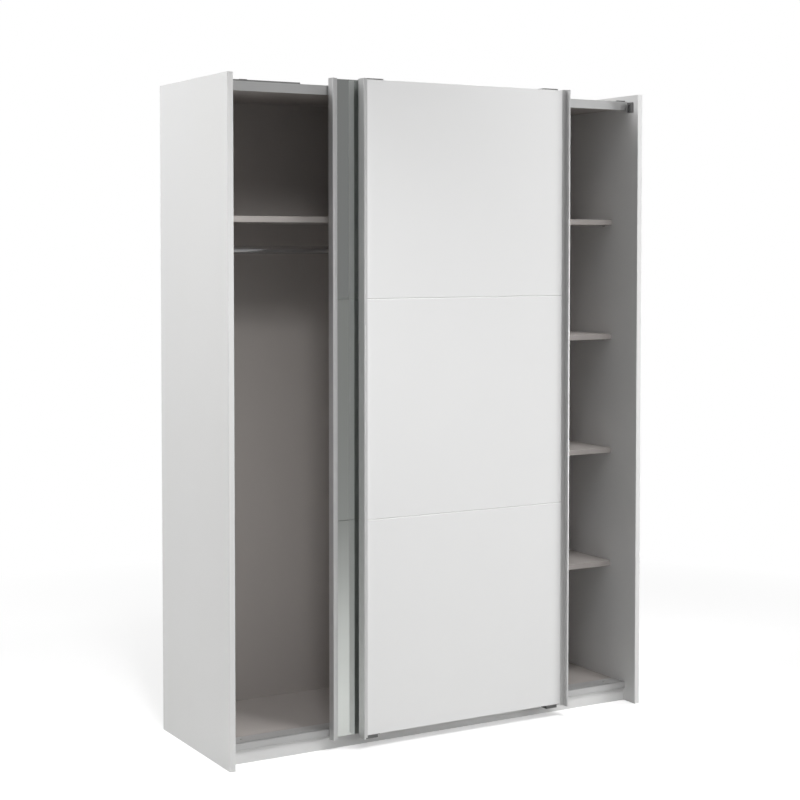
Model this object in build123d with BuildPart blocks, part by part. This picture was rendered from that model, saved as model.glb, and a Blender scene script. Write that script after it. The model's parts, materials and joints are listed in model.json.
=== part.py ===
"""Wardrobe with two sliding doors that hang in front of the case.

The case holds a hanging space on the left and five shelf spaces on the right.  Both doors run
on rollers along a track on the top panel.  The rear door carries three mirrors, the front door
is a white board with two V grooves, and each door edge is an aluminium handle profile.

Millimetres, +Z up, the doors face -Y.  The origin is on the floor, in the middle of the whole
width and depth.  A "depth" is measured backwards from the front edges of the side panels.
"""
import os

from build123d import *

os.makedirs("parts", exist_ok=True)

# ---------------------------------------------------------------- case
case_width = 1490
case_height = 2020
case_depth = 508
board = 18                  # every board of the case and every shelf
edge_round = 1              # rounded edge banding
plinth_height = 42
plinth_setback = 6          # plinth behind the bottom track's front
rear_plinth_inset = 25      # rear plinth to the back sheets
top_gap = 24                # top panel's upper face to the top of the side panels
back_sheet = 3
back_inset = 10             # back sheets' rear face to the side panels' back edges
back_groove = 8             # how far the grooves for the back sheets go into the side panels
groove_play = 0.2
joiner_width = 24           # strip between the two back sheets
joiner_lip = 1
joiner_web = 2

# ---------------------------------------------------------------- shelves and hanging rail
divider_setback = 4         # center divider behind the tracks
shelf_setback = 15          # shelves behind the divider's front edge
shelf_back_gap = 2
lowest_shelf = 442          # underside of the lowest shelf above the floor
shelf_pitch = 384
shelf_count = 4
shelf_play = 0.5            # at each end of a shelf
pin_diameter = 5
pin_setback = 40            # from a shelf's front and back edges
rail_diameter = 25
rail_wall = 1.2
rail_drop = 83              # shelf underside to the rail's axis
rail_forward = 20           # rail's axis in front of the middle of the shelf space
rail_end_play = 1
bracket_diameter = 50
bracket_plate = 3
bracket_collar = 12
collar_wall = 2.5
bracket_screw_spacing = 41.5

# ---------------------------------------------------------------- doors
door_past_middle = 27       # how far a closed door reaches past the middle
door_drop = 0.5             # door boards' bottom below the top of the plinth
middle_field = 667.5        # height between the two grooves, and of the middle mirror
front_door_left = -308.5    # left edges of the doors as drawn, both slid to the middle
rear_door_left = -393.5
side_gap = 3                # closed front door to a side panel
door_gap = 2.6              # between the two doors, and from the rear door to the bottom track
front_door_face = 3.2
front_board = 16
rear_board = 12
mirror_glass = 4
mirror_gap = 1
mirror_bevel = 0.8
front_lip = 17.2            # how far the handle lips stand out from each door's face
rear_lip = 11.2
lip_width = 6
lip_round = 1.2
profile_width = 20
profile_wall = 1.6
flange = 1.2
board_play = 0.4
profile_drop = 7.5          # profile below the board
profile_rise = 2            # profile above the board
groove_size = 4             # V grooves' width

# ---------------------------------------------------------------- rollers, carriages, guides
wheel_groove_radius = 8
wheel_radius = 10
wheel_width = 8.4
wheel_play = 0.4            # groove to each side of the ridge
wheel_side_play = 0.3
rolling_gap = 0.2
axle_diameter = 5
axle_play = 0.05
axle_shoulder = 3           # shoulder and rivet head are this much wider than the axle
rivet_head = 1.5
wheel_inset = 36            # wheel centre from the door's side edge
wheel_headroom = 2.8        # wheel to the arm above it
carriage_inset = 28
carriage_width = 56
carriage_plate = 2.5
carriage_drop = 66          # height of the plate screwed to the door
carriage_screw_levels = (12, 36)  # above the lower edge of that plate
arm_height = 3              # underside of the crossing arm above the door board's top
hanger_gap = 3              # wheel to the plate that carries its axle
hanger_rise = 1.5           # that plate's lower edge above the ridges
guide_inset = 24
guide_width = 40
front_guide_drop = 15.5
front_guide_setback = 2
fin_play = 0.6              # a guide's fin to each side of its channel
fin_top_gap = 4
rear_foot_gap = 2           # rear guide above the bottom track, and its fin above the slot
rear_foot_depth = 7
rear_foot_height = 40
rear_foot_sole = 4
buffer_thickness = 6
buffer_gap = 0.5            # closed rear door to a buffer

# ---------------------------------------------------------------- tracks
track_wall = 2
thin_wall = 1.6
fascia_height = 28
fascia_drop = 5             # below the top panel's underside
fascia_hook = 14            # lip under the top panel
screw_clearance = 2.5       # rear door's screw heads to the fascia
ridge_width = 3
ridge_height = 4
ridge_setback = 15.5        # rear door's ridge behind the fascia
ridge_spacing = 35
track_tail = 10.5           # track behind the front door's ridge
rim_rise = 1                # track's rear rim above the ridges
slot_width = 6              # slot for the rear door's guides
slot_depth = 10.4
channel_width = 3.8         # channel behind the track's front, for the front door's guides

# ---------------------------------------------------------------- small fittings
screw_head = 8
screw_head_height = 1.8
screw_shank = 4
screw_play = 0.1
hole_spare = 1              # pilot holes go this much deeper than their screws
track_screw_count = 5
track_screw_inset = 60
track_screw_length = 14
rail_screw_length = 12
front_carriage_screw = 12
rear_carriage_screw = 9
cam_diameter = 15
cam_height = 12.5
cam_setback = 34            # cam centre from the end of its board
driver_slot = (10, 2, 2)    # length, width and depth of the slot in a cam
bolt_diameter = 6
bolt_in_side = 10
bolt_inset = 60             # from the plinth and from the back sheets
fitting_play = 0.2
stop_width = 10
stop_rise = 3               # above the ridges
stop_play = 0.4             # a closed door's wheel to its stop
stop_end_gap = 1
damper_start = 18           # damper's left end from the left side panel
damper_length = 226
damper_height = 7.5
damper_side_gap = 0.8
damper_wall = 2
damper_floor = 3
damper_slot = (28, 110)     # limits of the slot from the damper's left end
catch_length = 26
catch_height = 9
catch_round = 1.5
recess_play = 1             # round the carriage plates let into the front door
buffer_drop = 14            # below the top panel's underside
buffer_rise = 19
buffer_base = 1.5
buffer_rim = 5
buffer_crown = 7

# ---------------------------------------------------------------- places worked out from the sizes
half_case = case_width / 2
inner_half = half_case - board
top_panel_top = case_height - top_gap
top_panel_bottom = top_panel_top - board
base_bottom = plinth_height
base_top = base_bottom + board

plate_top = top_panel_top + track_wall
ridge_top = plate_top + ridge_height
wheel_centre = ridge_top + rolling_gap + wheel_groove_radius
arm_bottom = wheel_centre + wheel_radius + wheel_headroom
arm_top = arm_bottom + carriage_plate
fascia_bottom = top_panel_bottom - fascia_drop
fascia_top = fascia_bottom + fascia_height
flange_top = base_top + track_wall
slot_bottom = flange_top - slot_depth

door_width = inner_half + door_past_middle
door_bottom = plinth_height - door_drop
door_top = arm_bottom - arm_height
middle_bottom = (door_bottom + door_top - middle_field) / 2
middle_top = middle_bottom + middle_field
screw_levels = [door_top - carriage_drop + level for level in carriage_screw_levels]

lip_front = front_door_face - front_lip
front_door_back = front_door_face + front_board
rear_door_face = front_door_back + flange + door_gap + rear_lip
rear_board_face = rear_door_face + mirror_glass
rear_door_back = rear_board_face + rear_board

top_track_front = rear_door_back + carriage_plate + screw_head_height + screw_clearance
rear_door_ridge = top_track_front + ridge_setback
front_door_ridge = rear_door_ridge + ridge_spacing
top_track_back = front_door_ridge + track_tail
bottom_track_front = rear_door_back + flange + door_gap
bottom_track_back = top_track_back
channel_front = bottom_track_front + thin_wall
slot_front = channel_front + channel_width + thin_wall
slot_back = slot_front + slot_width
plinth_depth = bottom_track_front + plinth_setback
divider_front = bottom_track_back + divider_setback
shelf_front = divider_front + shelf_setback

whole_depth = case_depth - lip_front
front_y = -whole_depth / 2 - lip_front
back_front = case_depth - back_inset - back_sheet
shelf_back = back_front - shelf_back_gap
shelf_levels = [lowest_shelf + shelf_pitch * i for i in range(shelf_count)]
rail_height = shelf_levels[-1] - rail_drop
rail_depth = (shelf_front + back_front) / 2 - rail_forward
left_bay = (-inner_half, -board / 2)
right_bay = (board / 2, inner_half)
pin_length = board - 2      # half in the board, half under the shelf
hole_diameter = screw_shank + 2 * screw_play


# ---------------------------------------------------------------- helpers
def deep(depth):
    """The y of a depth behind the side panels' front edges."""
    return front_y + depth


def block(x, depth, z, mode=Mode.ADD):
    """A block in the current part; x, depth and z are each a pair of limits."""
    low_y, high_y = deep(depth[0]), deep(depth[1])
    with Locations(((x[0] + x[1]) / 2, (low_y + high_y) / 2, (z[0] + z[1]) / 2)):
        Box(abs(x[1] - x[0]), abs(high_y - low_y), abs(z[1] - z[0]), mode=mode)


def patch(first, second, mode=Mode.ADD):
    """A rectangle in the current sketch; each argument is a pair of limits on one axis."""
    with Locations(((first[0] + first[1]) / 2, (second[0] + second[1]) / 2)):
        Rectangle(abs(first[1] - first[0]), abs(second[1] - second[0]), mode=mode)


def rod(x, depth, z, diameter, mode=Mode.ADD):
    """A cylinder in the current part, along whichever of x, depth and z is a pair of limits."""
    places = [value if isinstance(value, tuple) else (value, value) for value in (x, depth, z)]
    spans = [high - low for low, high in places]
    turn = (0, 90, 0) if spans[0] else (90, 0, 0) if spans[1] else (0, 0, 0)
    middle = [(low + high) / 2 for low, high in places]
    with Locations((middle[0], deep(middle[1]), middle[2])):
        Cylinder(diameter / 2, abs(sum(spans)), rotation=turn, mode=mode)


def save(piece, name):
    """Name one finished piece and write its file."""
    piece.part.label = name
    export_step(piece.part, f"parts/{name}.step")


def spread(low, high, count):
    """Evenly spaced values from low to high."""
    return [low + (high - low) * i / (count - 1) for i in range(count)]


# ---------------------------------------------------------------- fittings shared by several boards
pin_depths = (shelf_front + pin_setback, shelf_back - pin_setback)
left_pin_levels = [shelf_levels[-1] - pin_diameter / 2]
right_pin_levels = [level - pin_diameter / 2 for level in shelf_levels]
bolt_depths = (plinth_depth + bolt_inset, back_front - bolt_inset)
bolt_levels = (top_panel_top - board / 2, base_top - board / 2)
bracket_screw_heights = (rail_height - bracket_screw_spacing / 2,
                         rail_height + bracket_screw_spacing / 2)


def pin_holes(face_x, inward, levels):
    """Holes for shelf pins in a board; inward points from its face into the board."""
    for level in levels:
        for depth in pin_depths:
            ends = sorted((face_x, face_x + inward * (pin_length / 2 + fitting_play)))
            rod(tuple(ends), depth, level, pin_diameter + 2 * screw_play, mode=Mode.SUBTRACT)


def bracket_screw_holes(face_x, inward):
    """Pilot holes for the two screws of a rail bracket."""
    for height in bracket_screw_heights:
        ends = sorted((face_x, face_x + inward * (rail_screw_length + hole_spare)))
        rod(tuple(ends), rail_depth, height, hole_diameter, mode=Mode.SUBTRACT)


# ---------------------------------------------------------------- case boards
def side_panel(name, side):
    """side is -1 for the left panel and +1 for the right one."""
    inner = side * inner_half
    outer = side * half_case
    with BuildPart() as panel:
        block((inner, outer), (0, case_depth), (0, case_height))
        fillet(panel.edges().filter_by(Axis.Z), edge_round)
        block((inner, inner + side * back_groove), (back_front - groove_play,
              back_front + back_sheet + groove_play), (0, case_height), mode=Mode.SUBTRACT)
        pin_holes(inner, side, left_pin_levels if side < 0 else right_pin_levels)
        for depth in bolt_depths:
            for level in bolt_levels:
                ends = sorted((inner, inner + side * (bolt_in_side + fitting_play)))
                rod(tuple(ends), depth, level, bolt_diameter + 2 * screw_play,
                    mode=Mode.SUBTRACT)
        if side < 0:
            bracket_screw_holes(inner, side)
    save(panel, name)


side_panel("left_side_panel", -1)
side_panel("right_side_panel", +1)


def level_panel(name, front, bottom, cam_face, cam_direction, screw_depth):
    """Top or bottom panel with pockets for its cams, bolts and track screws."""
    level = bottom + board / 2
    with BuildPart() as panel:
        block((-inner_half, inner_half), (front, back_front), (bottom, bottom + board))
        for side in (-1, 1):
            cam_x = side * (inner_half - cam_setback)
            for depth in bolt_depths:
                ends = sorted((cam_face, cam_face + cam_direction * (cam_height + fitting_play)))
                rod(cam_x, depth, tuple(ends), cam_diameter + 2 * fitting_play,
                    mode=Mode.SUBTRACT)
                ends = sorted((cam_x, side * inner_half))
                rod(tuple(ends), depth, level, bolt_diameter + 2 * fitting_play,
                    mode=Mode.SUBTRACT)
        hole_bottom = bottom + board - track_screw_length - hole_spare
        for x in track_screw_places:
            rod(x, screw_depth, (hole_bottom, bottom + board), hole_diameter, mode=Mode.SUBTRACT)
    save(panel, name)


track_screw_places = spread(-inner_half + track_screw_inset, inner_half - track_screw_inset,
                            track_screw_count)
top_screw_depth = (rear_door_ridge + front_door_ridge) / 2
bottom_screw_depth = (slot_back + bottom_track_back) / 2
bottom_panel_front = slot_back + thin_wall + groove_play
level_panel("top_panel", top_track_front + track_wall + groove_play, top_panel_bottom,
            top_panel_top, -1, top_screw_depth)
level_panel("bottom_panel", bottom_panel_front, base_bottom, base_bottom, +1,
            bottom_screw_depth)

with BuildPart() as center_divider:
    block((-board / 2, board / 2), (divider_front, back_front - joiner_lip),
          (base_top, top_panel_bottom))
    fillet(center_divider.edges().filter_by(Axis.Z).group_by(Axis.Y)[0], edge_round)
    pin_holes(-board / 2, +1, left_pin_levels)
    pin_holes(board / 2, -1, right_pin_levels)
    bracket_screw_holes(-board / 2, +1)
save(center_divider, "center_divider")

plinth_back = back_front - rear_plinth_inset

with BuildPart() as plinth_front:
    block((-inner_half, inner_half), (plinth_depth, plinth_depth + board), (0, plinth_height))
save(plinth_front, "plinth_front")

with BuildPart() as plinth_rear:
    block((-inner_half, inner_half), (plinth_back, plinth_back + board), (0, plinth_height))
save(plinth_rear, "plinth_rear")

with BuildPart() as plinth_middle:
    block((-board / 2, board / 2), (plinth_depth + board, plinth_back), (0, plinth_height))
save(plinth_middle, "plinth_middle")


def back_panel(name, side):
    """One sheet of the back, from its side panel's groove to the joiner in the middle."""
    ends = (side * (joiner_web / 2 + groove_play), side * (inner_half + back_groove - groove_play))
    with BuildPart() as sheet:
        block(ends, (back_front, back_front + back_sheet), (base_bottom, top_panel_top))
    save(sheet, name)


back_panel("back_sheet_left", -1)
back_panel("back_sheet_right", +1)

with BuildPart() as back_joiner:
    with BuildSketch(Plane.XY.offset(base_top)):
        rear_of_sheet = back_front + back_sheet
        patch((-joiner_width / 2, joiner_width / 2), (deep(back_front - joiner_lip), deep(back_front)))
        patch((-joiner_width / 2, joiner_width / 2),
              (deep(rear_of_sheet), deep(rear_of_sheet + joiner_lip)))
        patch((-joiner_web / 2, joiner_web / 2), (deep(back_front), deep(rear_of_sheet)))
    extrude(amount=top_panel_bottom - base_top)
save(back_joiner, "back_joiner")


# ---------------------------------------------------------------- shelves
def shelf(name, bay, level):
    with BuildPart() as plank:
        block((bay[0] + shelf_play, bay[1] - shelf_play), (shelf_front, shelf_back),
              (level, level + board))
        fillet(plank.edges().filter_by(Axis.X).group_by(Axis.Y)[0], edge_round)
    save(plank, name)


shelf("left_shelf", left_bay, shelf_levels[-1])
for number, shelf_level in enumerate(shelf_levels, start=1):
    shelf(f"right_shelf_{number}", right_bay, shelf_level)

with BuildPart() as shelf_pins:
    for bay, levels in ((left_bay, left_pin_levels), (right_bay, right_pin_levels)):
        for wall in bay:
            for pin_level in levels:
                for pin_depth in pin_depths:
                    rod((wall - pin_length / 2, wall + pin_length / 2), pin_depth, pin_level,
                        pin_diameter)
save(shelf_pins, "shelf_pins")

# ---------------------------------------------------------------- hanging rail
rail_ends = (left_bay[0] + bracket_plate + rail_end_play,
             left_bay[1] - bracket_plate - rail_end_play)

with BuildPart() as hanging_rail:
    rod(rail_ends, rail_depth, rail_height, rail_diameter)
    rod(rail_ends, rail_depth, rail_height, rail_diameter - 2 * rail_wall, mode=Mode.SUBTRACT)
save(hanging_rail, "hanging_rail")


def rail_bracket(name, wall, inward):
    """A round plate with a collar that holds one end of the rail."""
    plate_face = wall + inward * bracket_plate
    collar_end = plate_face + inward * bracket_collar
    with BuildPart() as bracket:
        rod(tuple(sorted((wall, plate_face))), rail_depth, rail_height, bracket_diameter)
        rod(tuple(sorted((plate_face, collar_end))), rail_depth, rail_height,
            rail_diameter + 2 * collar_wall)
        rod(tuple(sorted((plate_face, collar_end))), rail_depth, rail_height,
            rail_diameter + 2 * fitting_play, mode=Mode.SUBTRACT)
        for height in bracket_screw_heights:
            rod(tuple(sorted((wall, plate_face))), rail_depth, height, hole_diameter,
                mode=Mode.SUBTRACT)
    save(bracket, name)


rail_bracket("rail_bracket_left", left_bay[0], +1)
rail_bracket("rail_bracket_right", left_bay[1], -1)

rail_screw_head = screw_head - 1

with BuildPart() as rail_screws:
    for wall, inward in ((left_bay[0], +1), (left_bay[1], -1)):
        plate_face = wall + inward * bracket_plate
        head_face = plate_face + inward * screw_head_height
        tip = wall - inward * rail_screw_length
        for height in bracket_screw_heights:
            rod(tuple(sorted((tip, plate_face))), rail_depth, height, screw_shank)
            rod(tuple(sorted((plate_face, head_face))), rail_depth, height, rail_screw_head)
save(rail_screws, "rail_screws")

# ---------------------------------------------------------------- tracks
with BuildPart() as top_track:
    with BuildSketch(Plane.YZ.offset(-inner_half)):
        patch((deep(top_track_front), deep(top_track_front + track_wall)),
              (fascia_bottom, fascia_top))
        patch((deep(top_track_front), deep(top_track_front + fascia_hook)),
              (top_panel_bottom - thin_wall, top_panel_bottom))
        patch((deep(top_track_front), deep(top_track_back)), (top_panel_top, plate_top))
        patch((deep(top_track_back - track_wall), deep(top_track_back)),
              (plate_top, ridge_top + rim_rise))
        for ridge in (rear_door_ridge, front_door_ridge):
            patch((deep(ridge - ridge_width / 2), deep(ridge + ridge_width / 2)),
                  (plate_top, ridge_top))
    extrude(amount=2 * inner_half)
    for x in track_screw_places:
        rod(x, top_screw_depth, (top_panel_top, plate_top), hole_diameter, mode=Mode.SUBTRACT)
save(top_track, "top_track")

with BuildPart() as bottom_track:
    with BuildSketch(Plane.YZ.offset(-inner_half)):
        patch((deep(bottom_track_front), deep(bottom_track_back)), (base_top, flange_top))
        patch((deep(bottom_track_front), deep(channel_front)), (plinth_height, flange_top))
        patch((deep(slot_front - thin_wall), deep(slot_front)), (plinth_height, flange_top))
        patch((deep(slot_back), deep(slot_back + thin_wall)), (slot_bottom, flange_top))
        patch((deep(slot_front), deep(slot_back)), (slot_bottom - thin_wall, slot_bottom))
        patch((deep(slot_back), deep(slot_back + thin_wall)),
              (slot_bottom - thin_wall, slot_bottom))
        patch((deep(slot_front), deep(slot_back)), (slot_bottom, flange_top), mode=Mode.SUBTRACT)
    extrude(amount=2 * inner_half)
    for x in track_screw_places:
        rod(x, bottom_screw_depth, (base_top, flange_top), hole_diameter, mode=Mode.SUBTRACT)
save(bottom_track, "bottom_track")


def track_screws(name, depth, seat):
    """Pan head screws along a track."""
    with BuildPart() as screws:
        for x in track_screw_places:
            rod(x, depth, (seat - track_screw_length, seat), screw_shank)
            rod(x, depth, (seat, seat + screw_head_height), screw_head)
    save(screws, name)


track_screws("top_track_screws", top_screw_depth, plate_top)
track_screws("bottom_track_screws", bottom_screw_depth, flange_top)

# The ends of the travel.  A closed door's outer wheel comes up against a stop on its ridge.
rear_reach = inner_half - buffer_thickness - buffer_gap - wheel_inset + wheel_radius
front_reach = inner_half - side_gap - wheel_inset + wheel_radius

with BuildPart() as track_stops:
    for ridge, reach in ((rear_door_ridge, rear_reach), (front_door_ridge, front_reach)):
        for side in (-1, 1):
            stop_face = side * (reach + stop_play)
            stop_end = side * (inner_half - stop_end_gap)
            block((stop_face, stop_end), (ridge - stop_width / 2, ridge + stop_width / 2),
                  (plate_top, ridge_top + stop_rise))
            block((stop_face, stop_end), (ridge - ridge_width / 2, ridge + ridge_width / 2),
                  (plate_top, ridge_top), mode=Mode.SUBTRACT)
save(track_stops, "track_stops")

damper_left = -inner_half + damper_start
damper_front = top_track_front + track_wall + damper_side_gap
damper_back = rear_door_ridge - wheel_width / 2 - damper_side_gap

with BuildPart() as soft_close_damper:
    block((damper_left, damper_left + damper_length), (damper_front, damper_back),
          (plate_top, plate_top + damper_height))
    block((damper_left + damper_slot[0], damper_left + damper_slot[1]),
          (damper_front + damper_wall, damper_back - damper_wall),
          (plate_top + damper_floor, plate_top + damper_height), mode=Mode.SUBTRACT)
save(soft_close_damper, "soft_close_damper")

catch_left = damper_left + damper_slot[0] + hole_spare
catch_inset = damper_wall + fitting_play

with BuildPart() as damper_catch:
    block((catch_left, catch_left + catch_length),
          (damper_front + catch_inset, damper_back - catch_inset),
          (plate_top + damper_floor + fitting_play, plate_top + catch_height))
    fillet(damper_catch.edges().filter_by(Axis.Y).group_by(Axis.Z)[-1], catch_round)
save(damper_catch, "damper_catch")

# The buffers are upside-down U shapes that the closed rear door's lip comes up against.
buffer_front = rear_door_face - rear_lip + 1
buffer_bottom = top_panel_bottom - buffer_drop
buffer_top = top_panel_bottom + buffer_rise

with BuildPart() as side_buffers:
    for side in (-1, 1):
        wall = side * inner_half
        block((wall, wall - side * buffer_thickness), (buffer_front, rear_door_back),
              (buffer_bottom, buffer_top))
        block((wall - side * buffer_base, wall - side * buffer_thickness),
              (buffer_front + buffer_rim, rear_door_back - buffer_rim),
              (buffer_bottom, buffer_top - buffer_crown), mode=Mode.SUBTRACT)
save(side_buffers, "side_buffers")

# ---------------------------------------------------------------- cams and bolts
with BuildPart() as cam_locks:
    for side in (-1, 1):
        cam_x = side * (inner_half - cam_setback)
        for depth in bolt_depths:
            slot_x = (cam_x - driver_slot[0] / 2, cam_x + driver_slot[0] / 2)
            slot_y = (depth - driver_slot[1] / 2, depth + driver_slot[1] / 2)
            rod(cam_x, depth, (top_panel_top - cam_height, top_panel_top), cam_diameter)
            block(slot_x, slot_y, (top_panel_top - driver_slot[2], top_panel_top),
                  mode=Mode.SUBTRACT)
            rod(cam_x, depth, (base_bottom, base_bottom + cam_height), cam_diameter)
            block(slot_x, slot_y, (base_bottom, base_bottom + driver_slot[2]),
                  mode=Mode.SUBTRACT)
save(cam_locks, "cam_locks")

with BuildPart() as cam_bolts:
    for side in (-1, 1):
        for depth in bolt_depths:
            for level in bolt_levels:
                ends = (side * (inner_half + bolt_in_side),
                        side * (inner_half - cam_setback + cam_diameter / 2 + fitting_play))
                rod(tuple(sorted(ends)), depth, level, bolt_diameter)
save(cam_bolts, "cam_bolts")


# ---------------------------------------------------------------- doors
def handle_profile(name, edge, inward, lip, face, back):
    """Aluminium handle profile on one upright edge of a door.

    edge is the x of the door's outer edge, inward is +1 on a left edge and -1 on a right one.
    A slot takes the door's edge, and a hollow lip stands out by which the door is pulled.
    """
    def across(low, high):
        return (edge + inward * low, edge + inward * high)

    with BuildPart() as profile:
        with BuildSketch(Plane.XY.offset(door_bottom - profile_drop)):
            patch(across(0, lip_width), (deep(face - lip), deep(face)))
            fillet(vertices().group_by(Axis.Y)[0], lip_round)
            patch(across(0, profile_wall), (deep(face - lip / 2), deep(back + flange)))
            patch(across(0, profile_width), (deep(face - flange), deep(face)))
            patch(across(0, profile_width), (deep(back), deep(back + flange)))
            patch(across(profile_wall, lip_width - profile_wall),
                  (deep(face - lip + profile_wall), deep(face - flange)), mode=Mode.SUBTRACT)
        extrude(amount=door_top - door_bottom + profile_drop + profile_rise)
    save(profile, name)


def door_sheet(left, face, back, bottom, top):
    """A board or a mirror that fills a door between its two profiles, in the current part."""
    inset = profile_wall + board_play
    block((left + inset, left + door_width - inset), (face, back), (bottom, top))


def carriage_spans(left):
    """For each carriage of a door: its name's side, its limits in x and its wheel's x."""
    right = left + door_width
    return (
        ("left", (left + carriage_inset, left + carriage_inset + carriage_width),
         left + wheel_inset),
        ("right", (right - carriage_inset - carriage_width, right - carriage_inset),
         right - wheel_inset),
    )


def guide_spans(left):
    """For each guide of a door: its name's side and its limits in x."""
    right = left + door_width
    return (
        ("left", (left + guide_inset, left + guide_inset + guide_width)),
        ("right", (right - guide_inset - guide_width, right - guide_inset)),
    )


def axle(x, foot, ridge):
    """A riveted axle in the current part, with a shoulder in front of the wheel."""
    wheel_front = ridge - wheel_width / 2
    wheel_back = ridge + wheel_width / 2
    rivet_front = wheel_back + wheel_side_play
    rivet_back = rivet_front + rivet_head
    rod(x, (foot, wheel_front - wheel_side_play), wheel_centre, axle_diameter + axle_shoulder)
    rod(x, (foot, rivet_back), wheel_centre, axle_diameter)
    rod(x, (rivet_front, rivet_back), wheel_centre, axle_diameter + axle_shoulder)


def roller(name, x, ridge):
    """A grooved wheel that runs on a ridge of the top track."""
    with BuildPart() as wheel:
        with BuildSketch(Plane.XZ.offset(-deep(ridge + wheel_width / 2))):
            with Locations((x, wheel_centre)):
                Circle(wheel_radius)
                Circle(axle_diameter / 2 + axle_play, mode=Mode.SUBTRACT)
        extrude(amount=wheel_width)
        with BuildSketch(Plane.XZ.offset(-deep(ridge + ridge_width / 2 + wheel_play))):
            with Locations((x, wheel_centre)):
                Circle(wheel_radius)
                Circle(wheel_groove_radius, mode=Mode.SUBTRACT)
        extrude(amount=ridge_width + 2 * wheel_play, mode=Mode.SUBTRACT)
    save(wheel, name)


# ---------------------------------------------------------------- front door
front_door_right = front_door_left + door_width

with BuildPart() as front_door_panel:
    door_sheet(front_door_left, front_door_face, front_door_back, door_bottom, door_top)
    for groove in (middle_bottom, middle_top):
        with BuildSketch(Plane.YZ.offset(front_door_left)):
            with BuildLine():
                Polyline((deep(front_door_face), groove - groove_size / 2),
                         (deep(front_door_face + groove_size / 2), groove),
                         (deep(front_door_face), groove + groove_size / 2), close=True)
            make_face()
        extrude(amount=door_width, mode=Mode.SUBTRACT)
    hole_front = front_door_back - front_carriage_screw - hole_spare
    for _, span, _ in carriage_spans(front_door_left):
        block((span[0] - recess_play, span[1] + recess_play),
              (front_door_back - carriage_plate - fitting_play, front_door_back),
              (door_top - carriage_drop - recess_play, door_top), mode=Mode.SUBTRACT)
        for screw_level in screw_levels:
            rod((span[0] + span[1]) / 2, (hole_front, front_door_back), screw_level,
                hole_diameter, mode=Mode.SUBTRACT)
save(front_door_panel, "front_door_panel")

handle_profile("front_door_left_profile", front_door_left, +1, front_lip, front_door_face,
               front_door_back)
handle_profile("front_door_right_profile", front_door_right, -1, front_lip, front_door_face,
               front_door_back)


def front_carriage(name, span, wheel_x):
    """A cranked arm from the front door, over the rear door, to the rear ridge of the track."""
    leg_front = front_door_back - carriage_plate
    hanger_back = front_door_ridge - wheel_width / 2 - hanger_gap
    hanger_front = hanger_back - carriage_plate
    with BuildPart() as carriage:
        block(span, (leg_front, front_door_back), (door_top - carriage_drop, arm_top))
        block(span, (leg_front, hanger_back), (arm_bottom, arm_top))
        block(span, (hanger_front, hanger_back), (ridge_top + hanger_rise, arm_top))
        axle(wheel_x, hanger_back, front_door_ridge)
        for screw_level in screw_levels:
            x = (span[0] + span[1]) / 2
            rod(x, (leg_front, front_door_back), screw_level, hole_diameter, mode=Mode.SUBTRACT)
            rod(x, (front_door_back - screw_head_height, front_door_back), screw_level,
                screw_head + 2 * screw_play, mode=Mode.SUBTRACT)
    save(carriage, name)


def front_guide(name, span):
    """A stirrup under the front door, whose fin rises behind the bottom track's front."""
    fin_front = channel_front + fin_play
    fin_back = channel_front + channel_width - fin_play
    web_front = front_door_back - carriage_plate
    plate_bottom = door_bottom - front_guide_drop
    with BuildPart() as guide:
        block(span, (front_door_face + front_guide_setback, front_door_back),
              (door_bottom - carriage_plate, door_bottom))
        block(span, (web_front, front_door_back), (plate_bottom, door_bottom))
        block(span, (web_front, fin_back), (plate_bottom, plate_bottom + carriage_plate))
        block(span, (fin_front, fin_back), (plate_bottom, base_top - fin_top_gap))
    save(guide, name)


for side_name, span, wheel_x in carriage_spans(front_door_left):
    front_carriage(f"front_door_{side_name}_carriage", span, wheel_x)
    roller(f"front_door_{side_name}_roller", wheel_x, front_door_ridge)

for side_name, span in guide_spans(front_door_left):
    front_guide(f"front_door_{side_name}_guide", span)

with BuildPart() as front_door_carriage_screws:
    for _, span, _ in carriage_spans(front_door_left):
        for screw_level in screw_levels:
            screw_x = (span[0] + span[1]) / 2
            rod(screw_x, (front_door_back - front_carriage_screw, front_door_back), screw_level,
                screw_shank)
            rod(screw_x, (front_door_back - screw_head_height, front_door_back), screw_level,
                screw_head)
save(front_door_carriage_screws, "front_door_carriage_screws")

# ---------------------------------------------------------------- rear door
rear_door_right = rear_door_left + door_width

with BuildPart() as rear_door_board:
    door_sheet(rear_door_left, rear_board_face, rear_door_back, door_bottom, door_top)
    hole_front = rear_door_back - rear_carriage_screw - hole_spare
    for _, span, _ in carriage_spans(rear_door_left):
        for screw_level in screw_levels:
            rod((span[0] + span[1]) / 2, (hole_front, rear_door_back), screw_level,
                hole_diameter, mode=Mode.SUBTRACT)
save(rear_door_board, "rear_door_board")


def mirror_pane(name, bottom, top):
    """One of the three mirrors on the rear door."""
    with BuildPart() as pane:
        door_sheet(rear_door_left, rear_door_face, rear_board_face, bottom, top)
        chamfer(pane.faces().sort_by(Axis.Y)[0].edges().filter_by(Axis.X), mirror_bevel)
    save(pane, name)


mirror_pane("mirror_bottom", door_bottom, middle_bottom - mirror_gap / 2)
mirror_pane("mirror_middle", middle_bottom + mirror_gap / 2, middle_top - mirror_gap / 2)
mirror_pane("mirror_top", middle_top + mirror_gap / 2, door_top)

handle_profile("rear_door_left_profile", rear_door_left, +1, rear_lip, rear_door_face,
               rear_door_back)
handle_profile("rear_door_right_profile", rear_door_right, -1, rear_lip, rear_door_face,
               rear_door_back)


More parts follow.
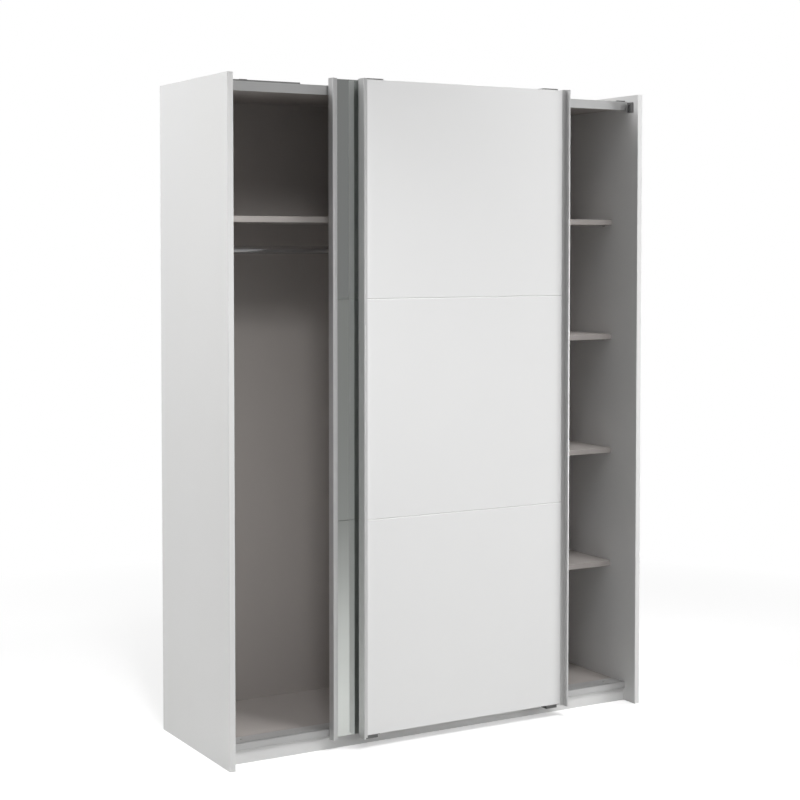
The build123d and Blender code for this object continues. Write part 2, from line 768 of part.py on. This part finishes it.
def rear_carriage(name, span, wheel_x):
    """A flat plate on the back of the rear door with an axle over the track's fascia."""
    with BuildPart() as carriage:
        block(span, (rear_door_back, rear_door_back + carriage_plate),
              (door_top - carriage_drop, door_top - 1))
        axle(wheel_x, rear_door_back + carriage_plate, rear_door_ridge)
        for screw_level in screw_levels:
            rod((span[0] + span[1]) / 2, (rear_door_back, rear_door_back + carriage_plate),
                screw_level, hole_diameter, mode=Mode.SUBTRACT)
    save(carriage, name)


def rear_guide(name, span):
    """A foot behind the rear door, whose fin drops into the slot of the bottom track."""
    foot_bottom = flange_top + rear_foot_gap
    sole_top = foot_bottom + rear_foot_sole
    fin = (slot_front + fin_play, slot_back - fin_play)
    with BuildPart() as guide:
        block(span, (rear_door_back, rear_door_back + rear_foot_depth),
              (foot_bottom, foot_bottom + rear_foot_height))
        block(span, (rear_door_back, fin[1]), (foot_bottom, sole_top))
        block(span, fin, (slot_bottom + rear_foot_gap, sole_top))
    save(guide, name)


for side_name, span, wheel_x in carriage_spans(rear_door_left):
    rear_carriage(f"rear_door_{side_name}_carriage", span, wheel_x)
    roller(f"rear_door_{side_name}_roller", wheel_x, rear_door_ridge)

for side_name, span in guide_spans(rear_door_left):
    rear_guide(f"rear_door_{side_name}_guide", span)

with BuildPart() as rear_door_carriage_screws:
    seat = rear_door_back + carriage_plate
    for _, span, _ in carriage_spans(rear_door_left):
        for screw_level in screw_levels:
            screw_x = (span[0] + span[1]) / 2
            rod(screw_x, (rear_door_back - rear_carriage_screw, seat), screw_level, screw_shank)
            rod(screw_x, (seat, seat + screw_head_height), screw_level, screw_head)
save(rear_door_carriage_screws, "rear_door_carriage_screws")
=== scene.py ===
"""Wardrobe with two sliding doors: finishes, small fittings, floor, lights and camera."""
import json
import math

import bmesh
import bpy
from mathutils import Matrix, Vector

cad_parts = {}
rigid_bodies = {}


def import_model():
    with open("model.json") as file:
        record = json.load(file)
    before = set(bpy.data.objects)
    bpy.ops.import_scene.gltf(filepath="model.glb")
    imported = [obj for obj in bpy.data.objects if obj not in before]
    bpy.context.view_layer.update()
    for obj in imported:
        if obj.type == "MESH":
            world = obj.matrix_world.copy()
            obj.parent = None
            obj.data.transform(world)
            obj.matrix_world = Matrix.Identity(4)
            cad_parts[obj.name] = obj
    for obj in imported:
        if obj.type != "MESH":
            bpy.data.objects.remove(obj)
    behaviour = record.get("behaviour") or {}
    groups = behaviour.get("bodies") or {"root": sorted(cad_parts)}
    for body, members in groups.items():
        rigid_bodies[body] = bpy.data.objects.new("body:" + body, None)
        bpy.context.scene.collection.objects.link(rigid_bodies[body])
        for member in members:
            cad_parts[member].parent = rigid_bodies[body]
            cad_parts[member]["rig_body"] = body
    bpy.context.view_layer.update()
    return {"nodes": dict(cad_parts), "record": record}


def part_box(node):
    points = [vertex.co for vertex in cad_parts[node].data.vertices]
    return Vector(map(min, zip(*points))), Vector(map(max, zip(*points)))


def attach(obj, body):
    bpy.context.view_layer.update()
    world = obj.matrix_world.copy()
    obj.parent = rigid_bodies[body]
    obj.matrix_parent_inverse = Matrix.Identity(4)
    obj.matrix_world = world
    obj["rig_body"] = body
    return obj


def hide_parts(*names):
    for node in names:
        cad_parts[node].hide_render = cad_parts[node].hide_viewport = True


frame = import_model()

nodes = frame["nodes"]
slot_of = {part["node"]: part["material_slot"] for part in frame["record"]["subparts"]}

MM = 0.001

# A Mix node has its own pair of inputs and its own output for each kind of data.
MIX_FACTOR = 0
NUMBER_A, NUMBER_B, MIXED_NUMBER = 2, 3, 0
COLOR_A, COLOR_B, MIXED_COLOR = 6, 7, 2


# ---------------------------------------------------------------- shader building
def rgb(red, green, blue):
    """A colour socket's value, with its alpha."""
    return (red, green, blue, 1)


def grey(level):
    return rgb(level, level, level)


def add(tree, kind, settings=None, **inputs):
    """A new shader node; settings are its properties, inputs its sockets (underscore for a space)."""
    made = tree.nodes.new(kind)
    for name, value in (settings or {}).items():
        setattr(made, name, value)
    for name, value in inputs.items():
        made.inputs[name.replace("_", " ")].default_value = value
    return made


def join(tree, source, output, target, entry):
    """Links one node's output to another's input; both may be names or numbers."""
    tree.links.new(source.outputs[output], target.inputs[entry])


def new_group(name, inputs, outputs):
    """An empty node group; inputs are (name, kind, value) and outputs (name, kind)."""
    tree = bpy.data.node_groups.new(name, "ShaderNodeTree")
    for label, kind, value in inputs:
        socket = tree.interface.new_socket(label, in_out="INPUT", socket_type=f"NodeSocket{kind}")
        socket.default_value = value
    for label, kind in outputs:
        tree.interface.new_socket(label, in_out="OUTPUT", socket_type=f"NodeSocket{kind}")
    return tree, tree.nodes.new("NodeGroupInput"), tree.nodes.new("NodeGroupOutput")


def place_group(tree, group, **inputs):
    """A copy of a node group in a material, with its own values."""
    return add(tree, "ShaderNodeGroup", {"node_tree": group}, **inputs)


def noise(tree, place, output="Object", **inputs):
    """Noise at the points that a node's output gives."""
    made = add(tree, "ShaderNodeTexNoise", **inputs)
    join(tree, place, output, made, "Vector")
    return made


def two_tone(tree, given, second, mask, output):
    """The group's Color where a mask is 0, and its second colour where it is 1."""
    shade = add(tree, "ShaderNodeMix", {"data_type": "RGBA"})
    join(tree, mask, output, shade, MIX_FACTOR)
    join(tree, given, "Color", shade, COLOR_A)
    join(tree, given, second, shade, COLOR_B)
    return shade


def uneven_gloss(tree, given, texture, amount):
    """The group's Roughness plus an amount of a noise texture."""
    gloss = add(tree, "ShaderNodeMath", {"operation": "MULTIPLY_ADD"})
    join(tree, texture, "Fac", gloss, 0)
    gloss.inputs[1].default_value = amount
    join(tree, given, "Roughness", gloss, 2)
    return gloss


def laminate_group():
    """Printed or plain laminate: a fine pebbled press texture with slow changes in shade."""
    tree, given, out = new_group(
        "laminate",
        [("Color", "Color", grey(0.8)), ("Second Color", "Color", grey(0.75)),
         ("Pebble Scale", "Float", 1400), ("Fleck", "Float", 0.0), ("Roughness", "Float", 0.45)],
        [("Color", "Color"), ("Roughness", "Float"), ("Height", "Float")])
    where = add(tree, "ShaderNodeTexCoord")
    pebbles = noise(tree, where, Detail=2.0, Roughness=0.6)
    join(tree, given, "Pebble Scale", pebbles, "Scale")
    clouds = noise(tree, where, Scale=2.6, Detail=3.0, Roughness=0.5)
    flecks = noise(tree, where, Scale=520.0, Detail=4.0, Roughness=0.75)
    flecked = add(tree, "ShaderNodeMix", {"data_type": "FLOAT"})
    join(tree, given, "Fleck", flecked, MIX_FACTOR)
    join(tree, clouds, "Fac", flecked, NUMBER_A)
    join(tree, flecks, "Fac", flecked, NUMBER_B)
    contrast = add(tree, "ShaderNodeMapRange", From_Min=0.32, From_Max=0.68)
    join(tree, flecked, MIXED_NUMBER, contrast, "Value")
    shade = two_tone(tree, given, "Second Color", contrast, "Result")
    join(tree, shade, MIXED_COLOR, out, "Color")
    gloss = uneven_gloss(tree, given, pebbles, 0.16)
    join(tree, gloss, "Value", out, "Roughness")
    join(tree, pebbles, "Fac", out, "Height")
    return tree


def drawn_metal_group():
    """Extruded or drawn metal: fine lines along the length, on a satin skin."""
    tree, given, out = new_group(
        "drawn metal",
        [("Color", "Color", grey(0.6)), ("Line Color", "Color", grey(0.5)),
         ("Stretch", "Vector", (1, 1, 0.01)), ("Roughness", "Float", 0.3)],
        [("Color", "Color"), ("Roughness", "Float"), ("Height", "Float")])
    where = add(tree, "ShaderNodeTexCoord")
    along = add(tree, "ShaderNodeVectorMath", {"operation": "MULTIPLY"})
    join(tree, where, "Object", along, 0)
    join(tree, given, "Stretch", along, 1)
    lines = noise(tree, along, "Vector", Scale=2200.0, Detail=3.0, Roughness=0.65)
    haze = noise(tree, where, Scale=9.0, Detail=4.0, Roughness=0.6)
    shade = two_tone(tree, given, "Line Color", lines, "Fac")
    join(tree, shade, MIXED_COLOR, out, "Color")
    streaks = add(tree, "ShaderNodeMapRange", To_Min=-0.05, To_Max=0.05)
    join(tree, lines, "Fac", streaks, "Value")
    hazy = uneven_gloss(tree, given, haze, 0.08)
    gloss = add(tree, "ShaderNodeMath", {"operation": "ADD"})
    join(tree, hazy, "Value", gloss, 0)
    join(tree, streaks, "Result", gloss, 1)
    join(tree, gloss, "Value", out, "Roughness")
    join(tree, lines, "Fac", out, "Height")
    return tree


def grain_group():
    """Moulded or cast grain: a fine even roughness with faint mottling."""
    tree, given, out = new_group(
        "moulded grain",
        [("Color", "Color", grey(0.5)), ("Grain Scale", "Float", 1800),
         ("Mottle", "Float", 0.1), ("Roughness", "Float", 0.5)],
        [("Color", "Color"), ("Roughness", "Float"), ("Height", "Float")])
    where = add(tree, "ShaderNodeTexCoord")
    grain = noise(tree, where, Detail=2.0, Roughness=0.5)
    join(tree, given, "Grain Scale", grain, "Scale")
    mottle = noise(tree, where, Scale=90.0, Detail=3.0)
    strength = add(tree, "ShaderNodeMath", {"operation": "MULTIPLY"})
    join(tree, mottle, "Fac", strength, 0)
    join(tree, given, "Mottle", strength, 1)
    darker = add(tree, "ShaderNodeMix", {"data_type": "RGBA", "blend_type": "MULTIPLY"})
    darker.inputs[COLOR_B].default_value = grey(0.35)
    join(tree, strength, "Value", darker, MIX_FACTOR)
    join(tree, given, "Color", darker, COLOR_A)
    join(tree, darker, MIXED_COLOR, out, "Color")
    gloss = uneven_gloss(tree, given, grain, 0.12)
    join(tree, gloss, "Value", out, "Roughness")
    join(tree, grain, "Fac", out, "Height")
    return tree


laminate = laminate_group()
drawn_metal = drawn_metal_group()
moulded_grain = grain_group()


def finish(name, skin, relief, shader=None, **skin_values):
    """A material whose colour, gloss and relief come from a group; relief is in millimetres."""
    material = bpy.data.materials.new(name)
    material.use_nodes = True
    tree = material.node_tree
    surface = tree.nodes["Principled BSDF"]
    for socket, value in (shader or {}).items():
        surface.inputs[socket].default_value = value
    made = place_group(tree, skin, **skin_values)
    join(tree, made, "Color", surface, "Base Color")
    join(tree, made, "Roughness", surface, "Roughness")
    bump = add(tree, "ShaderNodeBump", Strength=1.0, Distance=relief * MM)
    join(tree, made, "Height", bump, "Height")
    join(tree, bump, "Normal", surface, "Normal")
    return material


def silvered_glass():
    """Plain mirror: silver seen through faintly green glass."""
    material = bpy.data.materials.new("silvered glass")
    material.use_nodes = True
    surface = material.node_tree.nodes["Principled BSDF"]
    surface.inputs["Base Color"].default_value = rgb(0.86, 0.89, 0.87)
    surface.inputs["Metallic"].default_value = 1.0
    surface.inputs["Roughness"].default_value = 0.02
    return material


WHITE = grey(0.80)
DOOR_WHITE = grey(0.82)
TAUPE = rgb(0.45, 0.42, 0.402)
METAL = {"Metallic": 1.0}
ANODISED = {"Metallic": 0.85}
UPRIGHT_LINES = (1, 1, 0.004)
SIDEWAYS_LINES = (0.004, 1, 1)

finishes = {
    "white_board": finish("white melamine", laminate, 0.02, Color=WHITE,
                          Second_Color=rgb(0.79, 0.79, 0.785), Roughness=0.42),
    "door_board": finish("white door foil", laminate, 0.01, Color=DOOR_WHITE,
                         Second_Color=grey(0.81), Roughness=0.40),
    "plinth_board": finish("white plinth melamine", laminate, 0.02, Color=WHITE,
                           Second_Color=rgb(0.77, 0.77, 0.765), Roughness=0.45),
    "taupe_board": finish("taupe melamine", laminate, 0.03, Color=TAUPE, Fleck=0.7,
                          Second_Color=rgb(0.42, 0.39, 0.373), Roughness=0.50),
    "back_sheet": finish("taupe printed fibreboard", laminate, 0.02, Color=TAUPE, Fleck=0.6,
                         Second_Color=rgb(0.43, 0.40, 0.382), Roughness=0.55),
    "backing_board": finish("white backing board", laminate, 0.02, Color=WHITE,
                            Second_Color=rgb(0.78, 0.78, 0.775), Roughness=0.48),
    "anodised_aluminium": finish("satin anodised aluminium", drawn_metal, 0.004, ANODISED,
                                 Color=grey(0.74), Line_Color=grey(0.67),
                                 Stretch=UPRIGHT_LINES, Roughness=0.38),
    "chromed_tube": finish("chromed tube", drawn_metal, 0.001, METAL,
                           Color=rgb(0.72, 0.72, 0.73), Line_Color=rgb(0.68, 0.68, 0.69),
                           Stretch=SIDEWAYS_LINES, Roughness=0.10),
    "zinc_casting": finish("nickelled casting", moulded_grain, 0.02, METAL,
                           Color=rgb(0.50, 0.49, 0.47), Grain_Scale=900, Mottle=0.25,
                           Roughness=0.34),
    "zinc_plated_steel": finish("zinc plated steel", moulded_grain, 0.01, METAL,
                                Color=rgb(0.60, 0.60, 0.59), Grain_Scale=1300, Mottle=0.35,
                                Roughness=0.28),
    "roller_nylon": finish("roller nylon", moulded_grain, 0.01, {"Coat Weight": 0.15},
                           Color=rgb(0.78, 0.78, 0.75), Mottle=0.05, Roughness=0.35),
    "grey_plastic": finish("grey moulded plastic", moulded_grain, 0.03,
                           Color=grey(0.20), Mottle=0.08, Roughness=0.48),
    "dark_plastic": finish("dark moulded plastic", moulded_grain, 0.03,
                           Color=rgb(0.025, 0.025, 0.026), Mottle=0.10, Roughness=0.50),
    "mirror_glass": silvered_glass(),
}

# These nodes share a slot with others, but look a little different. The bottom track's copy is the
# same aluminium made darker and less metallic, as painted shade.
track_aluminium = finish("satin anodised track", drawn_metal, 0.004, ANODISED,
                         Color=grey(0.74), Line_Color=grey(0.66),
                         Stretch=SIDEWAYS_LINES, Roughness=0.34)
# Painted shade: the top track's aluminium with a darker colour and less metal, so the bottom track
# reads as shadowed; its higher roughness is real.
shaded_bottom_track_aluminium = finish("anodised track darkened as painted shade", drawn_metal, 0.004, {"Metallic": 0.5},
                           Color=grey(0.60), Line_Color=grey(0.50),
                           Stretch=SIDEWAYS_LINES, Roughness=0.45)
buffer_plastic = finish("grey buffer plastic", moulded_grain, 0.03, Mottle=0.08,
                        Color=grey(0.16), Roughness=0.42)
finish_of_node = {"top_track": track_aluminium, "bottom_track": shaded_bottom_track_aluminium,
                  "side_buffers": buffer_plastic}

for name, obj in nodes.items():
    for entry in obj.material_slots:
        entry.material = finish_of_node.get(name, finishes[slot_of[name]])


# ---------------------------------------------------------------- small metal and nylon pieces
def build(name, shape, slot, node, replaced=True):
    """An object from a finished bmesh, in the finish of slot; it rides where the CAD node does."""
    mesh = bpy.data.meshes.new(name)
    bmesh.ops.recalc_face_normals(shape, faces=shape.faces)
    shape.to_mesh(mesh)
    shape.free()
    mesh.shade_smooth()
    mesh.set_sharp_from_angle(angle=math.radians(35))
    mesh.materials.append(finishes[slot])
    piece = bpy.data.objects.new(name, mesh)
    bpy.context.scene.collection.objects.link(piece)
    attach(piece, nodes[node]["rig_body"])
    if replaced:
        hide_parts(node)
    return piece


def turn(shape, outline, place, sides=48, closed=False):
    """Revolves (radius, height) pairs round Z into a skin, put in position by the matrix place."""
    rings = []
    for radius, height in outline:
        steps = sides if radius > 0 else 1
        ring = []
        for i in range(steps):
            angle = 2 * math.pi * i / sides
            point = Vector((radius * math.cos(angle), radius * math.sin(angle), height))
            ring.append(shape.verts.new(place @ point))
        rings.append(ring)
    following_rings = rings[1:] + rings[:1] if closed else rings[1:]
    for low, high in zip(rings, following_rings):
        for i in range(sides):
            j = (i + 1) % sides
            corners = [low[i % len(low)], low[j % len(low)], high[j % len(high)],
                       high[i % len(high)]]
            shape.faces.new(list(dict.fromkeys(corners)))
    return rings


def separate_solids(node):
    """The corner points of each loose solid in a CAD node, as lists of vectors."""
    shape = bmesh.new()
    shape.from_mesh(nodes[node].data)
    bmesh.ops.remove_doubles(shape, verts=shape.verts, dist=0.01 * MM)
    waiting = set(shape.verts)
    solids = []
    while waiting:
        found = [waiting.pop()]
        for vert in found:
            for edge in vert.link_edges:
                other = edge.other_vert(vert)
                if other in waiting:
                    waiting.remove(other)
                    found.append(other)
        solids.append([vert.co.copy() for vert in found])
    shape.free()
    solids.sort(key=lambda points: tuple(round(value, 4) for value in min(points, key=tuple)))
    return solids


def measure_screw(points):
    """A plain CAD screw's seat, pointing from shank to head, and its radii and heights."""
    low = Vector(min(point[i] for point in points) for i in range(3))
    high = Vector(max(point[i] for point in points) for i in range(3))
    size = high - low
    along = max(range(3), key=lambda i: size[i])
    across = [i for i in range(3) if i != along]
    middle = (low + high) / 2
    head_radius = size[across[0]] / 2
    reach = [(math.hypot(*(point[i] - middle[i] for i in across)), point[along])
             for point in points]
    head_heights = [height for radius, height in reach if radius > 0.9 * head_radius]
    shank_radius = max(radius for radius, _ in reach if radius < 0.75 * head_radius)
    head_height = max(head_heights) - min(head_heights)
    head_up = sum(head_heights) / len(head_heights) > middle[along]
    seat = middle.copy()
    seat[along] = min(head_heights) if head_up else max(head_heights)
    direction = Vector((0, 0, 0))
    direction[along] = 1 if head_up else -1
    place = Matrix.Translation(seat) @ direction.to_track_quat("Z", "X").to_matrix().to_4x4()
    return place, shank_radius, size[along] - head_height, head_radius, head_height


def screw(shape, points):
    """A pan head screw with a cross recess, on the place and sizes of a plain CAD screw."""
    place, shank_radius, length, head_radius, head_height = measure_screw(points)
    outline = [(0, -length), (shank_radius, 2 * shank_radius - length), (shank_radius, 0),
               (head_radius, 0), (head_radius, 0.35 * head_height),
               (0.94 * head_radius, 0.62 * head_height), (0.78 * head_radius, 0.86 * head_height),
               (0.58 * head_radius, head_height)]
    rim = turn(shape, outline, place, sides=32)[-1]

    arm = 0.48 * head_radius
    half = 0.12 * head_radius
    recess_floor = 0.15 * head_height
    recess_taper = 0.6
    cross = [(half, half), (arm, half), (arm, -half), (half, -half), (half, -arm), (-half, -arm),
             (-half, -half), (-arm, -half), (-arm, half), (-half, half), (-half, arm), (half, arm)]
    mouth = [shape.verts.new(place @ Vector((x, y, head_height))) for x, y in cross]
    floor = [shape.verts.new(place @ Vector((recess_taper * x, recess_taper * y, recess_floor)))
             for x, y in cross]
    edges = []
    for ring in (rim, mouth):
        for i, vert in enumerate(ring):
            following = ring[(i + 1) % len(ring)]
            edges.append(shape.edges.get((vert, following)) or shape.edges.new((vert, following)))
    bmesh.ops.triangle_fill(shape, use_beauty=True, edges=edges)
    for i in range(len(cross)):
        j = (i + 1) % len(cross)
        shape.faces.new([mouth[i], mouth[j], floor[j], floor[i]])
    shape.faces.new(floor)


for screw_node in [name for name in nodes if name.endswith("_screws")]:
    shape = bmesh.new()
    for points in separate_solids(screw_node):
        screw(shape, points)
    build(f"{screw_node}_crosshead", shape, "zinc_plated_steel", screw_node)


def grooved_roller(node):
    """A nylon wheel with rounded edges and a groove for its ridge, round a steel bearing."""
    low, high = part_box(node)
    radius = (high.z - low.z) / 2
    half = (high.y - low.y) / 2
    place = Matrix.Translation((low + high) / 2) @ Matrix.Rotation(math.radians(-90), 4, "X")

    hub = 5.2 * MM
    dish = 0.7 * MM
    round_off = 0.5 * MM
    groove_radius = radius - 2.0 * MM
    groove = 1.9 * MM
    groove_mouth = groove + 0.3 * MM
    tyre = [(hub, dish - half), (hub + round_off, -half), (radius - round_off, -half),
            (radius, round_off - half), (radius, -groove_mouth), (groove_radius, -groove),
            (groove_radius, groove), (radius, groove_mouth), (radius, half - round_off),
            (radius - round_off, half), (hub + round_off, half), (hub, half - dish)]
    shape = bmesh.new()
    turn(shape, tyre, place, closed=True)
    build(f"{node}_tyre", shape, "roller_nylon", node)

    bore = 2.55 * MM
    face = half - dish
    shield = face + 0.2 * MM
    shield_inside = bore + 0.6 * MM
    shield_outside = hub - 0.9 * MM
    bearing = [(bore, -face), (shield_inside, -shield), (shield_outside, -shield), (hub, -face),
               (hub, face), (shield_outside, shield), (shield_inside, shield), (bore, face)]
    shape = bmesh.new()
    turn(shape, bearing, place, closed=True)
    build(f"{node}_bearing", shape, "zinc_plated_steel", node, replaced=False)


for roller_node in [name for name in nodes if name.endswith("_roller")]:
    grooved_roller(roller_node)


def soften(node, width):
    """Breaks the sharp edges of a pressed or moulded piece."""
    obj = nodes[node]
    weld = obj.modifiers.new("weld", "WELD")
    weld.merge_threshold = 0.01 * MM
    bevel = obj.modifiers.new("broken edges", "BEVEL")
    bevel.width = width
    bevel.segments = 2
    bevel.limit_method = "ANGLE"
    bevel.angle_limit = math.radians(40)


for name in nodes:
    if name.endswith(("_carriage", "_guide")) or name in ("track_stops", "side_buffers"):
        soften(name, 0.4 * MM)


# ---------------------------------------------------------------- floor, light and camera
def studio_floor():
    """A pale floor: near white to the camera, pure white further off, grey to bounced light."""
    reach = 40.0
    white_from = 1.2
    all_white = 3.0
    mesh = bpy.data.meshes.new("studio_floor")
    mesh.from_pydata([(-reach, -reach, 0), (reach, -reach, 0), (reach, reach, 0),
                      (-reach, reach, 0)], [], [(0, 1, 2, 3)])
    floor = bpy.data.objects.new("studio_floor", mesh)
    bpy.context.scene.collection.objects.link(floor)
    material = bpy.data.materials.new("pale studio floor")
    material.use_nodes = True
    tree = material.node_tree
    tree.nodes.remove(tree.nodes["Principled BSDF"])
    out = tree.nodes["Material Output"]
    lit = add(tree, "ShaderNodeBsdfDiffuse", Color=rgb(0.62, 0.62, 0.61))
    seen = add(tree, "ShaderNodeBsdfDiffuse", Color=grey(0.85))
    glow = add(tree, "ShaderNodeEmission", Color=grey(1), Strength=0.35)
    lifted = add(tree, "ShaderNodeAddShader")
    join(tree, seen, 0, lifted, 0)
    join(tree, glow, 0, lifted, 1)
    white = add(tree, "ShaderNodeEmission", Color=grey(1), Strength=1.0)
    where = add(tree, "ShaderNodeTexCoord")
    distance = add(tree, "ShaderNodeVectorMath", {"operation": "LENGTH"})
    join(tree, where, "Object", distance, 0)
    far = add(tree, "ShaderNodeMapRange", From_Min=white_from, From_Max=all_white)
    join(tree, distance, "Value", far, "Value")
    backdrop = add(tree, "ShaderNodeMixShader")
    join(tree, far, "Result", backdrop, 0)
    join(tree, lifted, 0, backdrop, 1)
    join(tree, white, 0, backdrop, 2)
    path = add(tree, "ShaderNodeLightPath")
    split = add(tree, "ShaderNodeMixShader")
    join(tree, path, "Is Camera Ray", split, 0)
    join(tree, lit, 0, split, 1)
    join(tree, backdrop, 0, split, 2)
    join(tree, split, 0, out, "Surface")
    mesh.materials.append(material)


def studio_world(horizon, zenith):
    """White where the camera looks past the wardrobe; as light, grey and brighter overhead."""
    world = bpy.data.worlds.new("studio")
    world.use_nodes = True
    bpy.context.scene.world = world
    tree = world.node_tree
    room = tree.nodes["Background"]
    room.inputs["Color"].default_value = grey(1)
    where = add(tree, "ShaderNodeTexCoord")
    axes = add(tree, "ShaderNodeSeparateXYZ")
    join(tree, where, "Generated", axes, "Vector")
    height = add(tree, "ShaderNodeMapRange", {"interpolation_type": "SMOOTHSTEP"},
                 From_Min=0.02, From_Max=0.9, To_Min=horizon, To_Max=zenith)
    join(tree, axes, "Z", height, "Value")
    join(tree, height, "Result", room, "Strength")
    white = add(tree, "ShaderNodeBackground", Color=grey(1), Strength=1.0)
    path = add(tree, "ShaderNodeLightPath")
    split = add(tree, "ShaderNodeMixShader")
    join(tree, path, "Is Camera Ray", split, 0)
    join(tree, room, 0, split, 1)
    join(tree, white, 0, split, 2)
    join(tree, split, 0, tree.nodes["World Output"], "Surface")


def softbox(name, place, aim, width, height, power, spread=180):
    """A rectangular area light at place, turned towards aim; spread is its beam in degrees."""
    light = bpy.data.lights.new(name, "AREA")
    light.shape = "RECTANGLE"
    light.spread = math.radians(spread)
    light.size = width
    light.size_y = height
    light.energy = power
    lamp = bpy.data.objects.new(name, light)
    bpy.context.scene.collection.objects.link(lamp)
    lamp.location = place
    lamp.rotation_euler = (Vector(aim) - Vector(place)).to_track_quat("-Z", "Y").to_euler()
    return lamp


studio_floor()
studio_world(0.20, 0.42)
softbox("right_softbox", (4.0, -2.5, 0.9), (0, -0.2, 0.5), 1.8, 1.6, 33, spread=110)
softbox("left_softbox", (-3.6, 0.9, 3.5), (-0.7, 0.1, 1.6), 2.0, 2.0, 100)
softbox("overhead_softbox", (0.85, -2.0, 4.4), (0.3, -0.15, 0.4), 1.2, 1.0, 13.5, spread=68)
softbox("bay_softbox", (-1.25, -2.1, 3.2), (-0.5, 0.1, 0.7), 0.5, 0.5, 1.9, spread=42)

eye_height = 1.516
tilt_down = 2.295
turned_right = 30.115
camera_data = bpy.data.cameras.new("camera")
camera_data.lens = 75.95
camera_data.sensor_width = 36.0
camera_data.shift_y = -0.105
camera = bpy.data.objects.new("camera", camera_data)
bpy.context.scene.collection.objects.link(camera)
camera.location = (-2.742, -4.670, eye_height)
camera.rotation_euler = (math.radians(90 - tilt_down), 0, math.radians(-turned_right))
bpy.context.scene.camera = camera
bpy.context.scene.view_settings.view_transform = "Standard"
